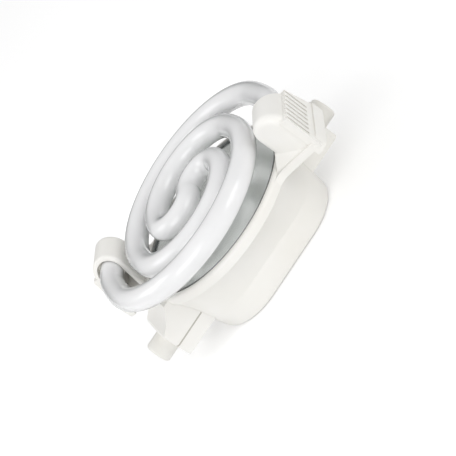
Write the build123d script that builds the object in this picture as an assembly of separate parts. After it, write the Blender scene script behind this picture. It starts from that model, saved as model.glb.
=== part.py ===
from build123d import *
import os
from math import cos, sin, sqrt, tan, radians

os.makedirs("parts", exist_ok=True)

# Overall lamp, millimetres, base at z = 0, lamp axis along X
lamp_length = 78.0
cap_z = 10.8
cap_r = 3.5
clear = 0.1
seat_gap = 0.15

# Discharge tube, a flat double spiral made of arcs
tube_r = 3.175
spiral_unit = 5.12
spiral_z = 28.6
spiral_turn = 2.0
core_lean = 45.0
turn_run = 2.2
flare_start = 0.0
leg_start = 1.5
tube_stop = -2.8
tube_inset = 0.4

# Sockets that hold the tube ends
socket_turn = -30.5
socket_d = 31.9
socket_r = 4.95
socket_bore_r = 3.75
socket_foot_mouth = 6.0
socket_top_mouth = 0.8
socket_end = -10.7
socket_end_skew = 17.0
socket_end_wall = 1.2
socket_end_round = 2.0
mouth_round = 0.8
web_foot = -10.7
web_low = 19.4
web_high = 23.8
web_dip = 2.5
pad_proud = 0.9
pad_depth = 2.5
pad_low = 22.7
pad_rise = 1.4
groove_pitch = 1.9
groove_width = 0.75
groove_depth = 0.55
groove_count = 7
groove_margin = 0.5
seal_set = 0.5
seal_len = 2.6
seal_fit = 0.05

# Upper housing tray
rim_r = 26.4
rim_in_r = 25.1
rim_low = 18.7
rim_top = 21.5
lip_top = 20.8
lip_low = 17.3
lip_proud = 1.3
lip_corner = 2.6
lip_skirt = 3.0
lip_inside = 3.0
lip_blend = 4.0
lip_overlap = 0.05
rim_round = 1.2
floor_t = 1.6
spigot_h = 2.0
spigot_t = 1.2
spigot_out = 0.8
post_r = 1.6
post_ring_r = 15.5
post_turns = (60, 120, 240, 300)

# Ears at both ends, split at the lamp axis
ear_x = 33.8
ear_half = 7.9
ear_top = 15.0
ear_low = 6.6
ear_root = 19.6
ear_wall = 1.4
ear_round = 1.2
ear_edge = 0.6
ear_bulge_x = 4.0
ear_bulge = 2.4
ear_drop = 0.6
neck_x = 27.0
cap_web = 1.0

# Lower housing
wall = 1.4
base_len = 44.8
base_wide = 31.0
base_corner = 13.2
waist_z = 8.0
waist_len = 47.0
waist_wide = 33.4
waist_corner = 14.0
flare_z = 14.5
flare_len = 49.4
flare_wide = 42.0
flare_corner = 19.5
crown_flat = 0.05
base_round = 1.3
boss_r = 2.2
boss_in = 0.6
boss_turns = (40, 140, 220, 320)

# Caps and contacts
cap_neck_r = 2.8
cap_flange_len = 4.2
cap_edge = 0.9
recess_r = 2.0
recess_depth = 1.55
contact_r = 1.5
contact_t = 1.0
shank_r = 0.8
shank_in = 26.4

# Reflector and circuit board
reflector_t = 0.4
reflector_edge = 1.0
reflector_gap = 0.5
board_r = 18.6
board_z = 13.4
board_t = 1.2
board_edge = 5.4

# Wires
wire_r = 0.3
wire_lanes = (-5.2, -4.0)
wire_exits = (-1.1, 1.1)
wire_drop = 15.5
wire_bend = 0.5
wire_sunk = 0.55
duct_clear = 0.3
duct_half = 0.8
mains_r = 0.5
mains_x = 17.0
mains_bend = 1.5
lead_r = 0.3
lead_bend = 0.5
lead_stub = 0.2

# Choke, standing under the board
choke_x = -8.0
choke_w = 13.0
choke_d = 6.0
choke_h = 11.0
choke_leg = 3.0
choke_side = 2.0
choke_yoke = 1.7
bobbin_t = 0.6
bobbin_half = 4.2
winding_half = 5.2
winding_round = 1.2
choke_pin_x = 2.4
choke_pin_y = 4.75

# Other parts on the board
can_at = (6.0, 8.0)
can_r = 4.0
can_h = 11.0
can_round = 0.6
can_pitch = 3.5
ring_at = (7.0, -7.0)
ring_r = 4.5
ring_in = 2.5
ring_h = 3.2
ring_wire = 0.5
coil_half = 1.0
coil_turns = (0, 120, 240)
switch_x = 15.5
switch_y = 4.0
switch_r = 2.3
switch_flat = 1.2
switch_h = 4.6
switch_lift = 2.8
switch_pitch = 1.27
film_shift = 1.75
film_gap = 1.4
film_round = 0.5
resonant_size = (8.5, 4.2, 8.0)
resonant_pitch = 5.5
blocking_size = (8.0, 3.8, 7.0)
blocking_pitch = 5.0
diode_x = -9.0
diode_rows = (-7.5, -2.5, 2.5, 7.5)
diode_size = (1.35, 5.2, 4.2)
row_x = 9.0
fuse_y = 6.0
fuse_size = (1.5, 7.0, 5.0)
diac_y = -6.0
diac_size = (1.0, 4.0, 3.4)
resistor_rows = (-2.2, 2.0)
resistor_size = (1.0, 3.6, 3.4)

floor_top = rim_low + floor_t
wire_z = floor_top - wire_sunk
board_top = board_z + board_t
cap_flange_x = ear_x - ear_wall
cap_in_x = cap_flange_x - cap_flange_len
contact_x = lamp_length / 2 - recess_depth
tube_d = socket_d - tube_inset
socket_wall_end = socket_end + 2 * socket_r * tan(radians(socket_end_skew))
choke_z0 = board_z - choke_h + choke_yoke
choke_z1 = board_z - choke_yoke
choke_reach = choke_w / 2 - choke_side - clear
core_x = choke_leg / 2 + bobbin_t
core_y = choke_d / 2 + bobbin_t
film_x = choke_x + film_shift
resonant_y = winding_half + film_gap + resonant_size[1] / 2
blocking_y = -winding_half - film_gap - blocking_size[1] / 2
board_half = resonant_y + resonant_size[1] / 2 + board_edge

# Lead places on the board, shared by the parts and the board's holes
choke_pins = [(choke_x + sx * choke_pin_x, sy * choke_pin_y) for sx in (-1, 1) for sy in (-1, 1)]
can_pins = [(can_at[0] + s * can_pitch / 2, can_at[1]) for s in (-1, 1)]
resonant_pins = [(film_x + s * resonant_pitch / 2, resonant_y) for s in (-1, 1)]
blocking_pins = [(film_x + s * blocking_pitch / 2, blocking_y) for s in (-1, 1)]
diodes_at = [(diode_x, y, *diode_size) for y in diode_rows]
fuse_at = (row_x, fuse_y, *fuse_size)
diac_at = (row_x, diac_y, *diac_size)
resistors_at = [(row_x, y, *resistor_size) for y in resistor_rows]


def span(x0, x1, y0, y1, z0, z1):
    block = Box(x1 - x0, y1 - y0, z1 - z0)
    return Pos((x0 + x1) / 2, (y0 + y1) / 2, (z0 + z1) / 2) * block


def upright(r, z0, z1, x=0.0, y=0.0):
    return Pos(x, y, (z0 + z1) / 2) * Cylinder(r, z1 - z0)


def along_x(r, x0, x1, y=0.0, z=cap_z):
    return Pos((x0 + x1) / 2, y, z) * Rot(0, 90, 0) * Cylinder(r, x1 - x0)


def along_y(r, y0, y1, x=0.0, z=cap_z):
    return Pos(x, (y0 + y1) / 2, z) * Rot(90, 0, 0) * Cylinder(r, y1 - y0)


def polar(r, turn):
    return r * cos(radians(turn)), r * sin(radians(turn))


def half_turn(shape):
    return Rot(0, 0, 180) * shape


def ring_face(z, length, width, corner):
    return Pos(0, 0, z) * RectangleRounded(length, width, corner)


def save(name, shape):
    shape.label = name
    export_step(shape, f"parts/{name}.step")


# Tube path: arcs for the spiral, then a flared lead into each socket
def arc_about(x, y, r, first, last):
    angles = (first, (first + last) / 2, last)
    return ThreePointArc(*[(x + r * cos(radians(a)), y + r * sin(radians(a))) for a in angles])


# Two arcs that meet smoothly and leave and arrive along the given directions
def flare(start, end, leaving, arriving):
    gap = end - start
    bow = leaving.dot(arriving) - 1
    pull = gap.dot(leaving + arriving)
    reach = (pull - sqrt(pull ** 2 - 2 * bow * gap.dot(gap))) / (2 * bow)
    first = start + leaving * reach
    last = end - arriving * reach
    joint = (first + last) * 0.5
    return [TangentArc(start, joint, tangent=leaving), TangentArc(joint, end, tangent=last - first)]


def tube_half():
    u = spiral_unit
    lean = radians(core_lean)
    hairpin = 2 * u / (1 + 1 / sin(lean))
    top = Vector(cos(lean), sin(lean)) * (hairpin / tan(lean))
    swing = socket_turn - spiral_turn
    s = radians(flare_start)
    start = Vector(u + 5 * u * cos(s), 5 * u * sin(s))
    bend = Vector(tube_d, leg_start).rotate(Axis.Z, swing)
    stop = Vector(tube_d, tube_stop).rotate(Axis.Z, swing)
    along = Vector(sin(s), -cos(s))
    leg = (stop - bend).normalized()
    return [
        Line((0, 0), top),
        arc_about(2 * u - hairpin, 0, hairpin, 90 + core_lean, 0),
        Line((2 * u, 0), (2 * u, -turn_run)),
        arc_about(-u, -turn_run, 3 * u, 0, -180),
        Line((-4 * u, -turn_run), (-4 * u, 0)),
        arc_about(u, 0, 5 * u, 180, flare_start),
        *flare(start, bend, along, leg),
        Line(bend, stop),
    ]


def discharge_tube():
    edges = tube_half()
    edges += [half_turn(edge) for edge in tube_half()]
    path = Pos(0, 0, spiral_z) * Rot(0, 0, spiral_turn) * Wire(edges)
    section = Plane(path @ 0, z_dir=path % 0) * Circle(tube_r)
    return sweep(section, path=path)


# Socket frame: X outwards from the lamp centre, Y towards the mouth
def socket_side(inset, low, high):
    lean = (socket_top_mouth - socket_foot_mouth) / (spiral_z + socket_r - rim_low)
    points = [
        (socket_foot_mouth - inset + lean * (low - rim_low), low),
        (socket_foot_mouth - inset + lean * (high - rim_low), high),
        (2 * socket_end, high),
        (2 * socket_end, low),
    ]
    return Plane.YZ * make_face(Polyline(*points, close=True))


def socket_plan(inset):
    near = socket_end + inset
    far = near + (socket_d + socket_r) * tan(radians(socket_end_skew))
    outer = near - pad_proud * tan(radians(socket_end_skew))
    reach = socket_d + socket_r + pad_proud
    points = [(0, far), (reach, outer), (reach, -2 * socket_end), (0, -2 * socket_end)]
    return make_face(Polyline(*points, close=True))


def socket_room(inset, low, high):
    room = extrude(socket_side(inset, low, high), socket_d + socket_r + pad_proud)
    return room & extrude(Pos(0, 0, low) * socket_plan(inset), high - low)


def arch(r, low):
    face = Pos(0, spiral_z) * Circle(r)
    height = spiral_z - low
    face += Pos(0, low + height / 2) * Rectangle(2 * r, height)
    return Plane.XZ * face


def arch_rims(body):
    rims = body.edges().filter_by(lambda e: abs(e.center().X - socket_d) < 0.5 and e.center().Z > spiral_z)
    return rims.sort_by(Axis.Y)


def socket_block():
    body = extrude(Pos(socket_d, 0, 0) * arch(socket_r, rim_low), -2 * socket_end, both=True)
    body &= socket_room(0, rim_low, spiral_z + socket_r + 1)
    body = fillet(arch_rims(body)[-1], mouth_round)
    return fillet(arch_rims(body)[0], socket_end_round)


def socket_web():
    low, high = rim_low, web_high
    side = Polyline(
        (web_foot, low), (web_foot, web_low), (socket_wall_end, high), (0, high), (0, low), close=True
    )
    x0 = socket_d - socket_r
    step = x0 - web_dip
    x1 = socket_d + socket_r
    front = Polyline((step, low), (step, lip_top), (x0, high), (x1, high), (x1, low), close=True)
    web = extrude(Plane.YZ * make_face(side), x1)
    return web & extrude(Plane.XZ * make_face(front), -2 * socket_end, both=True)


def socket_pad():
    outer = socket_d + socket_r + pad_proud
    top = spiral_z + pad_rise
    pad = span(outer - pad_depth, outer, 2 * socket_end, -2 * socket_end, rim_low, top)
    pad &= socket_room(0, rim_low, top)
    first = socket_end + groove_margin
    for i in range(groove_count):
        y = first + groove_pitch * i
        pad -= span(outer - groove_depth, outer + 1, y, y + groove_width, pad_low, top + 1)
    return pad


def socket_lip():
    x1 = socket_d + socket_r + lip_proud
    y1 = socket_foot_mouth + lip_proud
    reach = rim_r + lip_blend - lip_overlap
    hub = Vector(sqrt(reach ** 2 - (lip_blend - web_foot) ** 2), web_foot - lip_blend)
    inward = hub.normalized() * -1
    turn = hub + Vector(0, lip_blend)
    join = hub + inward * lip_blend
    middle = hub + (inward + Vector(0, 1)).normalized() * lip_blend
    inside = rim_in_r - lip_inside
    outline = Polyline(turn, (x1, web_foot), (x1, y1), (inside, y1), join)
    outline += ThreePointArc(join, middle, turn)
    lip = extrude(Pos(0, 0, lip_low) * make_face(outline), lip_top - lip_low)
    corners = lip.edges().filter_by(Axis.Z).sort_by(Axis.X)[-2:]
    lip = fillet(corners, lip_corner)
    return lip - span(0, x1 - lip_skirt, 3 * socket_end, -2 * socket_end, lip_low, rim_low)


def socket_cavity():
    channel = extrude(Pos(socket_d, 0, 0) * arch(socket_bore_r, floor_top), -2 * socket_end, both=True)
    room = extrude(Pos(0, 0, floor_top) * socket_plan(socket_end_wall), spiral_z + socket_r - floor_top)
    return channel & room


def wire_duct():
    y0 = min(wire_lanes) - wire_r - duct_clear
    y1 = max(wire_lanes) + wire_r + duct_clear
    far = tube_d + max(wire_exits) + wire_r + duct_clear
    duct = span(wire_drop - duct_half, far, y0, y1, wire_z - wire_r - clear, floor_top)
    return duct + span(wire_drop - duct_half, wire_drop + duct_half, y0, y1, rim_low - 1, floor_top)


def at_sockets(shape):
    near = Rot(0, 0, socket_turn) * shape
    return near + half_turn(near)


def ear_upper():
    shoulder = (ear_x - ear_edge, ear_top + ear_edge)
    crown = (ear_x - ear_bulge_x, ear_top + ear_bulge)
    neck = (neck_x, lip_top - ear_drop)
    root = (ear_root, lip_top - ear_drop)
    outline = Polyline(neck, root, (ear_root, cap_z), (ear_x, cap_z), (ear_x, ear_top), shoulder)
    outline += ThreePointArc(shoulder, crown, neck)
    ear = extrude(Plane.XZ * make_face(outline), ear_half, both=True)
    ends = ear.edges().filter_by(Axis.Z).sort_by(Axis.X)[-2:]
    return fillet(ends, ear_round)


def ear_hollow(low, high):
    inside = ear_half - ear_wall
    room = span(ear_root - wall, cap_in_x - cap_web, -inside, inside, low, high)
    room += along_x(cap_r + clear, cap_in_x - cap_web, cap_flange_x)
    room += along_x(cap_neck_r + clear, cap_in_x, ear_x)
    return room


def spigot():
    outer = flare_wide / 2 + spigot_out
    low = rim_low - spigot_h
    ring = upright(outer, low, rim_low) - upright(outer - spigot_t, low, rim_low)
    return ring - span(-rim_r, rim_r, -ear_half, ear_half, low, rim_low)


def upper_housing():
    body = upright(rim_r, rim_low, rim_top)
    body = fillet(body.edges().filter_by(GeomType.CIRCLE).sort_by(Axis.Z)[-1], rim_round)
    body += at_sockets(socket_lip())
    body += at_sockets(socket_web())
    body += at_sockets(socket_block())
    body += at_sockets(socket_pad())
    ear = ear_upper()
    body += ear + half_turn(ear)
    body -= upright(rim_in_r, floor_top, spiral_z)
    body -= at_sockets(socket_cavity())
    hollow = ear_hollow(cap_z, ear_top - ear_wall)
    inside = ear_half - ear_wall
    hollow += span(ear_root, neck_x - 2 * ear_wall, -inside, inside, cap_z, rim_low)
    body -= hollow + half_turn(hollow)
    body += spigot()
    body -= at_sockets(wire_duct())
    for turn in post_turns:
        body += upright(post_r, board_top, rim_low, *polar(post_ring_r, turn))
    return body


def shell(inset, low):
    cut = 2 * inset
    foot = ring_face(low, base_len - cut, base_wide - cut, base_corner - inset)
    waist = ring_face(waist_z, waist_len - cut, waist_wide - cut, waist_corner - inset)
    swell = ring_face(flare_z, flare_len - cut, flare_wide - cut, flare_corner - inset)
    crown = ring_face(rim_low, 2 * rim_r - cut, 2 * rim_r - cut, rim_r - inset - crown_flat)
    tub = loft([foot, waist], ruled=True)
    tub = tub + loft([waist, swell, crown])
    return tub


def lower_housing():
    body = shell(0, 0)
    rims = [e for e in body.edges() if e.center().Z < 0.01]
    body = fillet(rims, base_round)
    tongue = span(ear_root, ear_x, -ear_half, ear_half, ear_low, cap_z)
    corners = tongue.edges().filter_by(Axis.Z).sort_by(Axis.X)[-2:]
    tongue = fillet(corners, ear_round)
    body += tongue + half_turn(tongue)
    slot = ear_half + seat_gap
    window = span(ear_root, ear_x, -slot, slot, cap_z, rim_low)
    body -= window + half_turn(window)
    body -= shell(wall, wall)
    hollow = ear_hollow(ear_low + ear_wall, cap_z)
    body -= hollow + half_turn(hollow)
    for turn in boss_turns:
        boss = upright(boss_r, wall, board_z, *polar(board_r - boss_in, turn))
        body += boss & shell(wall / 2, wall / 2)
    return body


def cap_right():
    outer = along_x(cap_r, ear_x, lamp_length / 2)
    outer = fillet(outer.edges().filter_by(GeomType.CIRCLE).sort_by(Axis.X)[-1], cap_edge)
    outer += along_x(cap_neck_r, cap_flange_x, ear_x)
    outer += along_x(cap_r, cap_in_x, cap_flange_x)
    outer -= along_x(recess_r, contact_x, lamp_length / 2)
    outer -= along_x(contact_r + clear, contact_x - contact_t - clear, contact_x)
    outer -= along_x(shank_r + clear, cap_in_x, contact_x)
    return outer


def contact_right():
    button = along_x(contact_r, contact_x - contact_t, contact_x)
    return button + along_x(shank_r, shank_in, contact_x)


def tube_seal():
    y0 = tube_stop + seal_set
    ring = along_y(socket_bore_r - seal_fit, y0, y0 + seal_len, socket_d, spiral_z)
    return ring - along_y(tube_r + seal_fit / 2, y0, y0 + seal_len, tube_d, spiral_z)


def bent_wire(r, radius, *points):
    path = FilletPolyline(*points, radius=radius)
    section = Plane(path @ 0, z_dir=path % 0) * Circle(r)
    return sweep(section, path=path)


def tube_wires():
    wires = []
    for off, lane in zip(wire_exits, wire_lanes):
        x = tube_d + off
        wires.append(bent_wire(
            wire_r, wire_bend,
            (x, tube_stop, spiral_z),
            (x, lane, spiral_z),
            (x, lane, wire_z),
            (wire_drop, lane, wire_z),
            (wire_drop, lane, board_z),
        ))
    return Compound(wires)


def mains_wire():
    return bent_wire(
        mains_r, mains_bend,
        (shank_in, 0, cap_z),
        (mains_x, 0, cap_z),
        (mains_x, 0, board_top + mains_r),
    )


def choke_box(half_x, half_y, z0, z1):
    return span(choke_x - half_x, choke_x + half_x, -half_y, half_y, z0, z1)


def choke_core():
    core = choke_box(choke_w / 2, choke_d / 2, board_z - choke_h, board_z)
    window = choke_box(choke_w / 2 - choke_side, choke_d / 2, choke_z0, choke_z1)
    return core - (window - choke_box(choke_leg / 2, choke_d / 2, choke_z0, choke_z1))


def choke_bobbin():
    bobbin = choke_box(core_x, core_y, choke_z0, choke_z1)
    bobbin += choke_box(choke_reach, bobbin_half, choke_z0, choke_z0 + bobbin_t)
    bobbin += choke_box(choke_reach, bobbin_half, choke_z1 - bobbin_t, choke_z1)
    return bobbin - choke_box(choke_leg / 2, choke_d / 2, choke_z0, choke_z1)


def pins(places, low):
    return [upright(lead_r, low, board_top, x, y) for x, y in places]


def choke_winding():
    coil = choke_box(choke_reach - clear, winding_half, choke_z0 + bobbin_t, choke_z1 - bobbin_t)
    coil = fillet(coil.edges().filter_by(Axis.Z), winding_round)
    coil -= choke_box(core_x, core_y, choke_z0, choke_z1)
    return coil + pins(choke_pins, choke_z1 - bobbin_t)


def smoothing_capacitor():
    can = upright(can_r, board_z - can_h, board_z, *can_at)
    can = fillet(can.edges().sort_by(Axis.Z)[0], can_round)
    return can + pins(can_pins, board_z)


def ring_core():
    z1 = board_z - ring_wire
    ring = upright(ring_r, z1 - ring_h, z1, *ring_at)
    return ring - upright(ring_in, z1 - ring_h, z1, *ring_at)


def ring_windings():
    z0 = board_z - ring_h - 2 * ring_wire
    outer = upright(ring_r + ring_wire, z0, board_z, *ring_at)
    outer -= upright(ring_in - ring_wire, z0, board_z, *ring_at)
    outer -= ring_core()
    coils = []
    for turn in coil_turns:
        wedge = Rot(0, 0, turn) * span(0, ring_r + ring_wire, -coil_half, coil_half, z0, board_z)
        coils += (outer & (Pos(*ring_at, 0) * wedge)).solids()
    return Compound(coils)


def switch_pins(side):
    return [(switch_x, side * switch_y + k * switch_pitch) for k in (-1, 0, 1)]


def transistor(side):
    y = side * switch_y
    low = board_z - switch_lift - switch_h
    high = board_z - switch_lift
    body = upright(switch_r, low, high, switch_x, y)
    body -= span(switch_x + switch_flat, switch_x + switch_r, y - switch_r, y + switch_r, low, high)
    return body + pins(switch_pins(side), high)


def film_capacitor(y, size, places):
    length, width, height = size
    body = Pos(film_x, y, board_z - height / 2) * Box(length, width, height)
    return fillet(body.edges(), film_round) + pins(places, board_z)


def axial(x, y, r, length, reach):
    z = board_top + r
    body = along_x(r, x - length / 2, x + length / 2, y, z)
    lead = bent_wire(
        lead_r, lead_bend,
        (x - reach, y, board_z + lead_stub),
        (x - reach, y, z),
        (x + reach, y, z),
        (x + reach, y, board_z + lead_stub),
    )
    return body + lead


def circuit_board():
    board = upright(board_r, board_z, board_top)
    board &= span(-board_r, board_r, -board_half, board_half, board_z, board_top)
    holes = choke_pins + can_pins + resonant_pins + blocking_pins + switch_pins(1) + switch_pins(-1)
    for x, y, r, length, reach in diodes_at + [fuse_at, diac_at] + resistors_at:
        holes += [(x - reach, y), (x + reach, y)]
    for x, y in holes:
        board -= upright(lead_r + clear, board_z, board_top, x, y)
    for side in (-1, 1):
        board -= upright(mains_r + clear, board_z, board_top, side * mains_x, 0)
    for lane in wire_lanes:
        board -= at_sockets(upright(wire_r + clear, board_z, board_top, wire_drop, lane))
    return board


def reflector_plate():
    edge_r = rim_in_r - reflector_gap
    dish = upright(edge_r, floor_top, floor_top + reflector_edge)
    dish = fillet(dish.edges().filter_by(GeomType.CIRCLE).sort_by(Axis.Z)[0], reflector_t)
    return dish - upright(edge_r - reflector_t, floor_top + reflector_t, rim_top)


def both_ends(name, right):
    save(name + "_right", right)
    save(name + "_left", half_turn(right))


save("upper_housing", upper_housing())
save("lower_housing", lower_housing())
save("discharge_tube", discharge_tube())
save("reflector_plate", reflector_plate())
both_ends("end_cap", cap_right())
both_ends("contact", contact_right())
both_ends("tube_seal", Rot(0, 0, socket_turn) * tube_seal())
both_ends("tube_wires", Rot(0, 0, socket_turn) * tube_wires())
both_ends("mains_wire", mains_wire())
save("circuit_board", circuit_board())
save("choke_core", choke_core())
save("choke_bobbin", choke_bobbin())
save("choke_winding", choke_winding())
save("smoothing_capacitor", smoothing_capacitor())
save("ring_core", ring_core())
save("ring_windings", ring_windings())
save("transistor_high", transistor(1))
save("transistor_low", transistor(-1))
save("resonant_capacitor", film_capacitor(resonant_y, resonant_size, resonant_pins))
save("blocking_capacitor", film_capacitor(blocking_y, blocking_size, blocking_pins))
save("rectifier_diodes", Compound([axial(*place) for place in diodes_at]))
save("fusible_resistor", axial(*fuse_at))
save("trigger_diac", axial(*diac_at))
save("base_resistors", Compound([axial(*place) for place in resistors_at]))
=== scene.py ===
import math

import bmesh
import bpy
from mathutils import Matrix, Vector


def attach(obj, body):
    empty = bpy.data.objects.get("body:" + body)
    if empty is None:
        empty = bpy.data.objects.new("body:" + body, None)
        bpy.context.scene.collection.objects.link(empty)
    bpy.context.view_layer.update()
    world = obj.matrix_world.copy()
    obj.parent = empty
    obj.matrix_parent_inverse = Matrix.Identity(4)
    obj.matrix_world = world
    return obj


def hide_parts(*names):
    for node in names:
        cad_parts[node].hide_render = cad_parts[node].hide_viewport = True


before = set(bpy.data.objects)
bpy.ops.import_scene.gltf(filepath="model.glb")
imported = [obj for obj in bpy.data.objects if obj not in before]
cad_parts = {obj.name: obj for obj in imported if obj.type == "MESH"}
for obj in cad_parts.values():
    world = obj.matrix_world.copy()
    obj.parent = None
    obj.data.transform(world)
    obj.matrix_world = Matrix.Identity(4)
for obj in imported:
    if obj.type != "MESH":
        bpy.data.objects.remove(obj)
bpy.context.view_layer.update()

MM = 0.001
UP = Vector((0, 0, 1))

# Camera, fitted to the lamp's outline; scale in pixels per metre, centre in pixels
PHOTO_SIDE = 456.0
VIEW_RISE = math.radians(24.6)
VIEW_TURN = math.radians(-0.6)
VIEW_ROLL = math.radians(55.85)
VIEW_DISTANCE = 310.0 * MM
VIEW_HEIGHT = 10.8 * MM
VIEW_SCALE = 3.846 / MM
VIEW_CENTRE = (241.0, 230.0)
SENSOR = 36.0
NEAR_CLIP = 10.0 * MM

# Tube path, as in the solid, with a fuller S in the core
TUBE_R = 3.175 * MM
SPIRAL_UNIT = 5.12 * MM
INNER_TURN = 4 * SPIRAL_UNIT
OUTER_TURN = 6 * SPIRAL_UNIT
SPIRAL_Z = 28.6 * MM
SPIRAL_TURN = math.radians(2.0)
CORE_REACH = 10.9 * MM
TURN_RUN = 2.2 * MM
SOCKET_TURN = math.radians(-30.5)
LEG_D = 31.5 * MM
LEG_START = 1.5 * MM
LEG_STOP = -2.8 * MM
RING_POINTS = 48
ARC_STEP = math.radians(4.0)
STRAIGHT = 0.00001
WELD = 0.001 * MM

# Sky and floor
SKY_BRIGHT = 0.84
SKY_DARK = 0.25
SKY_AXIS = (-0.1, -0.6, 0.79)
SKY_FADE = (-0.38, -0.08)
FLOOR_PAINT = (0.85, 0.85, 0.85, 1)
FLOOR_GLOW = 0.30
FLOOR_SIZE = 4.0
FLOOR_DROP = 0.1 * MM

# Softboxes: name, place and size in metres, power in watts
SOFTBOXES = (
    ("left_box", (-0.5, -0.7, 0.45), (0.6, 0.5), 2.4),
    ("side_box", (-0.7, 0.2, 0.7), (0.5, 0.5), 1.6),
    ("right_box", (0.65, -0.65, 0.35), (0.5, 0.5), 2.0),
)
LIGHT_TARGET = (0, 0, 15.0 * MM)

# Colour drift and grain of every finish
DRIFT_DETAIL = 4.0
DRIFT_RANGE = (0.35, 0.7)
GRAIN_DETAIL = 2.0
GRAIN_LIFT = 0.05 * MM

# White plastic, with painted shade in the creases and a painted shadow line at the ears' parting
# line
PLASTIC = (0.90, 0.89, 0.86, 1.0)
PLASTIC_SHADE = (0.87, 0.855, 0.81, 1.0)
# Colour of the painted shade in the creases and of the painted seam shadow
PLASTIC_PAINTED_SHADE = (0.50, 0.48, 0.43, 1.0)
PLASTIC_IOR = 1.5
CREASE_REACH = 1.0 * MM
CREASE_RANGE = (0.85, 0.25)
CREASE_MOST = 0.22
# Place of the painted shadow line at the ears' parting
SEAM_Z = 10.8 * MM
SEAM_HALF = 0.22 * MM
SEAM_FROM = 23.0 * MM

# Coated glass with painted shade at its slanting edges, by facing angle
GLASS = (0.85, 0.85, 0.855, 1.0)
GLASS_SHADE = (0.81, 0.81, 0.815, 1.0)
GLASS_PAINTED_EDGE_SHADE = (0.33, 0.345, 0.345, 1.0)
GLASS_IOR = 1.5
EDGE_BLEND = 0.5
EDGE_RANGE = (0.6, 0.9)
EDGE_MOST = 0.85
SCATTER_SHARE = 0.6
SCATTER_REACH = 2.0 * MM
COAT_ROUGH = 0.1

# Bright dish with painted shade at its border, between two radii
MIRROR = (0.95, 0.975, 0.95, 1.0)
MIRROR_SHADE = (0.89, 0.915, 0.89, 1.0)
MIRROR_PAINTED_SHADE = (0.30, 0.31, 0.31, 1.0)
MIRROR_BORDER = (23.3 * MM, 24.1 * MM)
MIRROR_METALLIC = 0.75

# Ceramic caps
CERAMIC = (0.86, 0.85, 0.81, 1.0)
CERAMIC_SHADE = (0.80, 0.78, 0.72, 1.0)

# Pieces inside: colour, shade, roughness
METALS = {
    "contact_nickel": ((0.74, 0.70, 0.61, 1), (0.62, 0.57, 0.47, 1), 0.22),
    "tinned_wire": ((0.70, 0.68, 0.64, 1), (0.55, 0.53, 0.50, 1), 0.3),
    "enamelled_copper": ((0.62, 0.28, 0.12, 1), (0.45, 0.17, 0.06, 1), 0.28),
}
PLAIN_FINISHES = {
    "silicone_seal": ((0.78, 0.77, 0.72, 1), (0.70, 0.68, 0.62, 1), 0.6),
    "wire_sleeve": ((0.72, 0.72, 0.70, 1), (0.62, 0.62, 0.60, 1), 0.5),
    "board_laminate": ((0.46, 0.29, 0.09, 1), (0.38, 0.22, 0.06, 1), 0.55),
    "ferrite": ((0.022, 0.022, 0.024, 1), (0.035, 0.034, 0.035, 1), 0.5),
    "bobbin_plastic": ((0.03, 0.03, 0.032, 1), (0.045, 0.044, 0.044, 1), 0.45),
    "can_sleeve": ((0.012, 0.014, 0.03, 1), (0.02, 0.023, 0.045, 1), 0.3),
    "film_resin": ((0.10, 0.19, 0.05, 1), (0.07, 0.14, 0.035, 1), 0.25),
    "switch_body": ((0.012, 0.012, 0.012, 1), (0.022, 0.022, 0.022, 1), 0.5),
    "resistor_lacquer": ((0.42, 0.31, 0.15, 1), (0.34, 0.24, 0.11, 1), 0.35),
}

# The nodes that wear each finish
WEARERS = {
    "housing_plastic": ("upper_housing", "lower_housing"),
    "tube_glass": ("discharge_tube",),
    "reflector_metal": ("reflector_plate",),
    "cap_ceramic": ("end_cap_right", "end_cap_left"),
    "contact_nickel": ("contact_right", "contact_left"),
    "silicone_seal": ("tube_seal_right", "tube_seal_left"),
    "tinned_wire": ("tube_wires_right", "tube_wires_left"),
    "wire_sleeve": ("mains_wire_right", "mains_wire_left"),
    "board_laminate": ("circuit_board",),
    "ferrite": ("choke_core", "ring_core"),
    "bobbin_plastic": ("choke_bobbin",),
    "enamelled_copper": ("choke_winding", "ring_windings"),
    "can_sleeve": ("smoothing_capacitor",),
    "film_resin": ("resonant_capacitor", "blocking_capacitor"),
    "switch_body": ("transistor_high", "transistor_low", "rectifier_diodes", "trigger_diac"),
    "resistor_lacquer": ("fusible_resistor", "base_resistors"),
}


def look_through_camera():
    right = Vector((math.cos(VIEW_TURN), math.sin(VIEW_TURN), 0))
    level = math.cos(VIEW_RISE)
    ahead = Vector((
        -math.sin(VIEW_TURN) * level, math.cos(VIEW_TURN) * level, -math.sin(VIEW_RISE)))
    up = right.cross(ahead)
    side = math.cos(VIEW_ROLL) * right - math.sin(VIEW_ROLL) * up
    top = math.sin(VIEW_ROLL) * right + math.cos(VIEW_ROLL) * up
    lens = bpy.data.cameras.new("photo_camera")
    lens.sensor_width = SENSOR
    lens.lens = VIEW_SCALE * VIEW_DISTANCE / PHOTO_SIDE * SENSOR
    lens.shift_x = (PHOTO_SIDE / 2 - VIEW_CENTRE[0]) / PHOTO_SIDE
    lens.shift_y = (VIEW_CENTRE[1] - PHOTO_SIDE / 2) / PHOTO_SIDE
    lens.clip_start = NEAR_CLIP
    camera = bpy.data.objects.new("photo_camera", lens)
    place = Matrix((side, top, -ahead)).transposed().to_4x4()
    place.translation = Vector((0, 0, VIEW_HEIGHT)) - VIEW_DISTANCE * ahead
    camera.matrix_world = place
    bpy.context.scene.collection.objects.link(camera)
    bpy.context.scene.camera = camera


# Node helpers
def add_node(tree, kind, **values):
    node = tree.nodes.new(kind)
    for name, value in values.items():
        setattr(node, name, value)
    return node


def set_inputs(node, values):
    for name, value in values.items():
        node.inputs[name].default_value = value


def blank_material(name):
    material = bpy.data.materials.new(name)
    material.use_nodes = True
    tree = material.node_tree
    tree.nodes.clear()
    out = tree.nodes.new("ShaderNodeOutputMaterial")
    return material, tree, out


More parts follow.
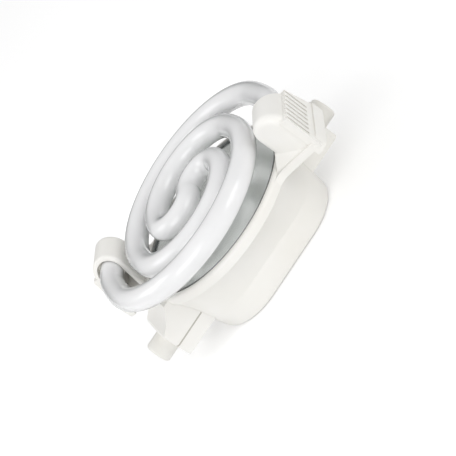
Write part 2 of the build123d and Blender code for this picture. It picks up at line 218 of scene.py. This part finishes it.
def seen_directly(tree):
    """One for rays from the camera, from a mirror or through glass, else nought."""
    path = tree.nodes.new("ShaderNodeLightPath")
    first = add_node(tree, "ShaderNodeMath", operation="MAXIMUM")
    both = add_node(tree, "ShaderNodeMath", operation="MAXIMUM")
    tree.links.new(path.outputs["Is Camera Ray"], first.inputs[0])
    tree.links.new(path.outputs["Is Glossy Ray"], first.inputs[1])
    tree.links.new(first.outputs[0], both.inputs[0])
    tree.links.new(path.outputs["Is Transmission Ray"], both.inputs[1])
    return both.outputs[0]


def blend_base(tree, skin, mask, colour):
    """Mix a second colour into the base colour where the mask is high."""
    mixed = add_node(tree, "ShaderNodeMix", data_type="RGBA")
    base = skin.inputs["Base Color"].links[0].from_socket
    tree.links.new(mask, mixed.inputs["Factor"])
    tree.links.new(base, mixed.inputs["A"])
    mixed.inputs["B"].default_value = colour
    tree.links.new(mixed.outputs["Result"], skin.inputs["Base Color"])


# Finishes
def empty_group():
    group = bpy.data.node_groups.new("surface_drift", "ShaderNodeTree")
    for way, label, kind in (
        ("INPUT", "Colour", "NodeSocketColor"),
        ("INPUT", "Shade", "NodeSocketColor"),
        ("INPUT", "Drift Scale", "NodeSocketFloat"),
        ("INPUT", "Grain Scale", "NodeSocketFloat"),
        ("INPUT", "Rough", "NodeSocketFloat"),
        ("INPUT", "Rough Spread", "NodeSocketFloat"),
        ("OUTPUT", "Colour", "NodeSocketColor"),
        ("OUTPUT", "Roughness", "NodeSocketFloat"),
        ("OUTPUT", "Height", "NodeSocketFloat"),
    ):
        group.interface.new_socket(name=label, in_out=way, socket_type=kind)
    return group


def noise(group, detail, scale):
    place = group.nodes.new("ShaderNodeTexCoord")
    cloud = group.nodes.new("ShaderNodeTexNoise")
    cloud.inputs["Detail"].default_value = detail
    group.links.new(place.outputs["Object"], cloud.inputs["Vector"])
    group.links.new(scale, cloud.inputs["Scale"])
    return cloud.outputs["Fac"]


def surface_group():
    """Slow colour drift and fine grain, shared by all finishes."""
    group = empty_group()
    links = group.links
    inlet = group.nodes.new("NodeGroupInput")
    outlet = group.nodes.new("NodeGroupOutput")
    drift = noise(group, DRIFT_DETAIL, inlet.outputs["Drift Scale"])
    grain = noise(group, GRAIN_DETAIL, inlet.outputs["Grain Scale"])
    spread = group.nodes.new("ShaderNodeMapRange")
    set_inputs(spread, {"From Min": DRIFT_RANGE[0], "From Max": DRIFT_RANGE[1]})
    links.new(drift, spread.inputs["Value"])
    tint = add_node(group, "ShaderNodeMix", data_type="RGBA")
    links.new(spread.outputs["Result"], tint.inputs["Factor"])
    links.new(inlet.outputs["Colour"], tint.inputs["A"])
    links.new(inlet.outputs["Shade"], tint.inputs["B"])
    links.new(tint.outputs["Result"], outlet.inputs["Colour"])
    swing = add_node(group, "ShaderNodeMath", operation="MULTIPLY_ADD")
    links.new(grain, swing.inputs[0])
    links.new(inlet.outputs["Rough Spread"], swing.inputs[1])
    links.new(inlet.outputs["Rough"], swing.inputs[2])
    links.new(swing.outputs[0], outlet.inputs["Roughness"])
    links.new(grain, outlet.inputs["Height"])
    return group


surface_drift = surface_group()


def finish_material(name, colour, shade, rough, spread, drift, grain, bump):
    material, tree, out = blank_material(name)
    links = tree.links
    skin = tree.nodes.new("ShaderNodeBsdfPrincipled")
    links.new(skin.outputs["BSDF"], out.inputs["Surface"])
    drifted = add_node(tree, "ShaderNodeGroup", node_tree=surface_drift)
    set_inputs(drifted, {
        "Colour": colour, "Shade": shade, "Drift Scale": drift, "Grain Scale": grain,
        "Rough": rough, "Rough Spread": spread,
    })
    links.new(drifted.outputs["Colour"], skin.inputs["Base Color"])
    links.new(drifted.outputs["Roughness"], skin.inputs["Roughness"])
    relief = tree.nodes.new("ShaderNodeBump")
    set_inputs(relief, {"Strength": bump, "Distance": GRAIN_LIFT})
    links.new(drifted.outputs["Height"], relief.inputs["Height"])
    links.new(relief.outputs["Normal"], skin.inputs["Normal"])
    return material, tree, skin


def shade_creases(tree, skin):
    """Painted shade: seams, ribs and inner corners go a little grey by ambient occlusion."""
    open_sky = tree.nodes.new("ShaderNodeAmbientOcclusion")
    open_sky.inputs["Distance"].default_value = CREASE_REACH
    closed = tree.nodes.new("ShaderNodeMapRange")
    set_inputs(closed, {
        "From Min": CREASE_RANGE[0], "From Max": CREASE_RANGE[1], "To Max": CREASE_MOST})
    tree.links.new(open_sky.outputs["AO"], closed.inputs["Value"])
    blend_base(tree, skin, closed.outputs["Result"], PLASTIC_PAINTED_SHADE)


def paint_seam_shadow(tree, skin):
    """Painted shadow: a dark line where the two halves of each end ear meet."""
    links = tree.links
    place = tree.nodes.new("ShaderNodeTexCoord")
    parts = tree.nodes.new("ShaderNodeSeparateXYZ")
    links.new(place.outputs["Object"], parts.inputs[0])
    near = add_node(tree, "ShaderNodeMath", operation="COMPARE")
    near.inputs[1].default_value = SEAM_Z
    near.inputs[2].default_value = SEAM_HALF
    links.new(parts.outputs["Z"], near.inputs[0])
    along = add_node(tree, "ShaderNodeMath", operation="ABSOLUTE")
    outside = add_node(tree, "ShaderNodeMath", operation="GREATER_THAN")
    outside.inputs[1].default_value = SEAM_FROM
    links.new(parts.outputs["X"], along.inputs[0])
    links.new(along.outputs[0], outside.inputs[0])
    line = add_node(tree, "ShaderNodeMath", operation="MULTIPLY")
    links.new(near.outputs[0], line.inputs[0])
    links.new(outside.outputs[0], line.inputs[1])
    blend_base(tree, skin, line.outputs[0], PLASTIC_PAINTED_SHADE)


def housing_plastic(name):
    material, tree, skin = finish_material(
        name, PLASTIC, PLASTIC_SHADE, rough=0.34, spread=0.12, drift=45, grain=2600, bump=0.08)
    skin.inputs["IOR"].default_value = PLASTIC_IOR
    shade_creases(tree, skin)
    paint_seam_shadow(tree, skin)
    return material


def paint_edge_shade(tree, skin):
    """Painted shade at the tube's slanting edges, standing in for how the clear glass wall around
    the white coating looks there.
    """
    slant = tree.nodes.new("ShaderNodeLayerWeight")
    slant.inputs["Blend"].default_value = EDGE_BLEND
    edge = add_node(tree, "ShaderNodeMapRange", interpolation_type="SMOOTHSTEP")
    set_inputs(edge, {"From Min": EDGE_RANGE[0], "From Max": EDGE_RANGE[1], "To Max": EDGE_MOST})
    tree.links.new(slant.outputs["Facing"], edge.inputs["Value"])
    blend_base(tree, skin, edge.outputs["Result"], GLASS_PAINTED_EDGE_SHADE)


def tube_glass(name):
    material, tree, skin = finish_material(
        name, GLASS, GLASS_SHADE, rough=0.38, spread=0.08, drift=90, grain=900, bump=0.01)
    paint_edge_shade(tree, skin)
    set_inputs(skin, {
        "Subsurface Weight": SCATTER_SHARE, "Subsurface Radius": (1.0, 1.0, 1.0),
        "Subsurface Scale": SCATTER_REACH, "Coat Weight": 1.0,
        "Coat Roughness": COAT_ROUGH, "Coat IOR": GLASS_IOR,
    })
    return material


def paint_border_shade(tree, skin):
    """Painted shade: the round dish goes darker towards its rim."""
    links = tree.links
    place = tree.nodes.new("ShaderNodeTexCoord")
    flat = add_node(tree, "ShaderNodeVectorMath", operation="MULTIPLY")
    flat.inputs[1].default_value = (1, 1, 0)
    reach = add_node(tree, "ShaderNodeVectorMath", operation="LENGTH")
    border = add_node(tree, "ShaderNodeMapRange", interpolation_type="SMOOTHSTEP")
    set_inputs(border, {"From Min": MIRROR_BORDER[0], "From Max": MIRROR_BORDER[1]})
    links.new(place.outputs["Object"], flat.inputs[0])
    links.new(flat.outputs["Vector"], reach.inputs[0])
    links.new(reach.outputs["Value"], border.inputs["Value"])
    blend_base(tree, skin, border.outputs["Result"], MIRROR_PAINTED_SHADE)


def reflector_metal(name):
    material, tree, skin = finish_material(
        name, MIRROR, MIRROR_SHADE, rough=0.2, spread=0.06, drift=120, grain=900, bump=0.003)
    paint_border_shade(tree, skin)
    skin.inputs["Metallic"].default_value = MIRROR_METALLIC
    return material


def cap_ceramic(name):
    return finish_material(
        name, CERAMIC, CERAMIC_SHADE, rough=0.28, spread=0.14, drift=120, grain=2200, bump=0.06)[0]


def metal(name, colour, shade, rough):
    material, tree, skin = finish_material(
        name, colour, shade, rough, spread=0.15, drift=200, grain=2600, bump=0.05)
    skin.inputs["Metallic"].default_value = 1.0
    return material


def plain_finish(name, colour, shade, rough):
    return finish_material(
        name, colour, shade, rough, spread=0.15, drift=150, grain=2400, bump=0.1)[0]


def all_finishes():
    shown = (housing_plastic, tube_glass, reflector_metal, cap_ceramic)
    finishes = {make.__name__: make(make.__name__) for make in shown}
    for name, look in METALS.items():
        finishes[name] = metal(name, *look)
    for name, look in PLAIN_FINISHES.items():
        finishes[name] = plain_finish(name, *look)
    return finishes


def dress_nodes(finishes):
    for finish, names in WEARERS.items():
        for name in names:
            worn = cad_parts[name].data.materials
            worn.clear()
            worn.append(finishes[finish])


# Tube
def pick(parts, kind):
    return [part for part in parts if isinstance(part, kind)]


def mesh_object(name, shape, material):
    mesh = bpy.data.meshes.new(name)
    shape.to_mesh(mesh)
    shape.free()
    mesh.materials.append(material)
    piece = bpy.data.objects.new(name, mesh)
    bpy.context.scene.collection.objects.link(piece)
    return piece


def flare_joint(start, end, leaving, arriving):
    """Where two smooth arcs from start to end meet."""
    gap = end - start
    bow = leaving.dot(arriving) - 1
    pull = gap.dot(leaving + arriving)
    reach = (pull - math.sqrt(pull ** 2 - 2 * bow * gap.length_squared)) / (2 * bow)
    return (start + leaving * reach + end - arriving * reach) / 2


def tube_points():
    """Ends of the lines and arcs of half the tube, from the middle of the core outwards."""
    swing = Matrix.Rotation(SOCKET_TURN - SPIRAL_TURN, 4, "Z")
    bend = swing @ Vector((LEG_D, LEG_START, 0))
    stop = swing @ Vector((LEG_D, LEG_STOP, 0))
    outer = Vector((OUTER_TURN, 0, 0))
    joint = flare_joint(outer, bend, Vector((0, -1, 0)), (stop - bend).normalized())
    return [
        Vector((CORE_REACH, -TURN_RUN, 0)),
        Vector((-INNER_TURN, -TURN_RUN, 0)),
        Vector((-INNER_TURN, 0, 0)),
        outer,
        joint,
        bend,
        stop,
    ]


def carry_ring(shape, ring, here, heading, point):
    """Draw the ring on to a point, straight or round the one arc that leaves along the heading."""
    chord = point - here
    side = UP.cross(heading)
    half = math.atan2(chord.dot(side), chord.dot(heading))
    if abs(half) < STRAIGHT:
        grown = bmesh.ops.extrude_edge_only(shape, edges=ring)["geom"]
        bmesh.ops.translate(shape, verts=pick(grown, bmesh.types.BMVert), vec=chord)
    else:
        centre = here + side * chord.length / (2 * math.sin(half))
        steps = math.ceil(abs(2 * half) / ARC_STEP)
        grown = bmesh.ops.spin(
            shape, geom=ring, cent=centre, axis=UP, angle=2 * half, steps=steps)["geom_last"]
    tips = set(pick(grown, bmesh.types.BMVert))
    ring = [edge for edge in pick(grown, bmesh.types.BMEdge) if tips.issuperset(edge.verts)]
    return ring, Matrix.Rotation(2 * half, 4, "Z") @ heading


def draw_half(shape):
    """Half the tube, from the middle of the core to its closed end in a socket."""
    bmesh.ops.create_circle(shape, segments=RING_POINTS, radius=TUBE_R)
    core_turn = 2 * math.atan(TURN_RUN / CORE_REACH)
    heading = Vector((math.sin(core_turn), math.cos(core_turn), 0))
    facing = UP.rotation_difference(heading).to_matrix()
    bmesh.ops.transform(shape, matrix=facing.to_4x4(), verts=shape.verts)
    ring = list(shape.edges)
    here = Vector((0, 0, 0))
    for point in tube_points():
        ring, heading = carry_ring(shape, ring, here, heading, point)
        here = point
    bmesh.ops.edgeloop_fill(shape, edges=ring)


def turn_about_axis(shape, verts, angle):
    bmesh.ops.rotate(shape, verts=verts, cent=(0, 0, 0), matrix=Matrix.Rotation(angle, 3, "Z"))


def spiral_tube(material):
    """The glass tube with the full S of its core; the rest follows the solid."""
    shape = bmesh.new()
    draw_half(shape)
    half = shape.verts[:] + shape.edges[:] + shape.faces[:]
    twin = bmesh.ops.duplicate(shape, geom=half)["geom"]
    turn_about_axis(shape, pick(twin, bmesh.types.BMVert), math.pi)
    bmesh.ops.remove_doubles(shape, verts=shape.verts, dist=WELD)
    bmesh.ops.recalc_face_normals(shape, faces=shape.faces)
    turn_about_axis(shape, shape.verts, SPIRAL_TURN)
    bmesh.ops.translate(shape, verts=shape.verts, vec=(0, 0, SPIRAL_Z))
    tube = mesh_object("spiral_tube", shape, material)
    for face in tube.data.polygons:
        face.use_smooth = len(face.vertices) == 4
    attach(tube, "root")
    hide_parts("discharge_tube")


# Stage
def floor_material():
    """White paint that glows a little where it is seen, so that only the shadow is grey."""
    material, tree, out = blank_material("pale_floor")
    dull = tree.nodes.new("ShaderNodeBsdfDiffuse")
    dull.inputs["Color"].default_value = FLOOR_PAINT
    glow = tree.nodes.new("ShaderNodeEmission")
    level = add_node(tree, "ShaderNodeMath", operation="MULTIPLY")
    level.inputs[1].default_value = FLOOR_GLOW
    tree.links.new(seen_directly(tree), level.inputs[0])
    tree.links.new(level.outputs[0], glow.inputs["Strength"])
    both = tree.nodes.new("ShaderNodeAddShader")
    tree.links.new(dull.outputs[0], both.inputs[0])
    tree.links.new(glow.outputs[0], both.inputs[1])
    tree.links.new(both.outputs[0], out.inputs["Surface"])
    return material


def pale_floor():
    shape = bmesh.new()
    bmesh.ops.create_grid(shape, x_segments=1, y_segments=1, size=FLOOR_SIZE / 2)
    bmesh.ops.translate(shape, verts=shape.verts, vec=(0, 0, -FLOOR_DROP))
    floor = mesh_object("floor", shape, floor_material())


def soft_sky():
    """Bright overhead and on the viewer's side, dim behind the lamp."""
    world = bpy.data.worlds.new("studio")
    world.use_nodes = True
    bpy.context.scene.world = world
    tree = world.node_tree
    tree.nodes.clear()
    out = tree.nodes.new("ShaderNodeOutputWorld")
    sky = tree.nodes.new("ShaderNodeBackground")
    look = tree.nodes.new("ShaderNodeTexCoord")
    facing = add_node(tree, "ShaderNodeVectorMath", operation="DOT_PRODUCT")
    facing.inputs[1].default_value = SKY_AXIS
    fade = add_node(tree, "ShaderNodeMapRange", interpolation_type="SMOOTHSTEP")
    set_inputs(fade, {
        "From Min": SKY_FADE[0], "From Max": SKY_FADE[1],
        "To Min": SKY_DARK, "To Max": SKY_BRIGHT,
    })
    tree.links.new(look.outputs["Generated"], facing.inputs[0])
    tree.links.new(facing.outputs["Value"], fade.inputs["Value"])
    tree.links.new(fade.outputs["Result"], sky.inputs["Strength"])
    tree.links.new(sky.outputs[0], out.inputs["Surface"])


def softbox(name, spot, size, power):
    light = bpy.data.lights.new(name, "AREA")
    light.shape = "RECTANGLE"
    light.size, light.size_y = size
    light.energy = power
    lamp = bpy.data.objects.new(name, light)
    spot = Vector(spot)
    lamp.rotation_euler = (Vector(LIGHT_TARGET) - spot).to_track_quat("-Z", "Y").to_euler()
    lamp.location = spot
    bpy.context.scene.collection.objects.link(lamp)


look_through_camera()
finishes = all_finishes()
dress_nodes(finishes)
spiral_tube(finishes["tube_glass"])
pale_floor()
soft_sky()
for box in SOFTBOXES:
    softbox(*box)

bpy.context.scene.view_settings.view_transform = "Standard"
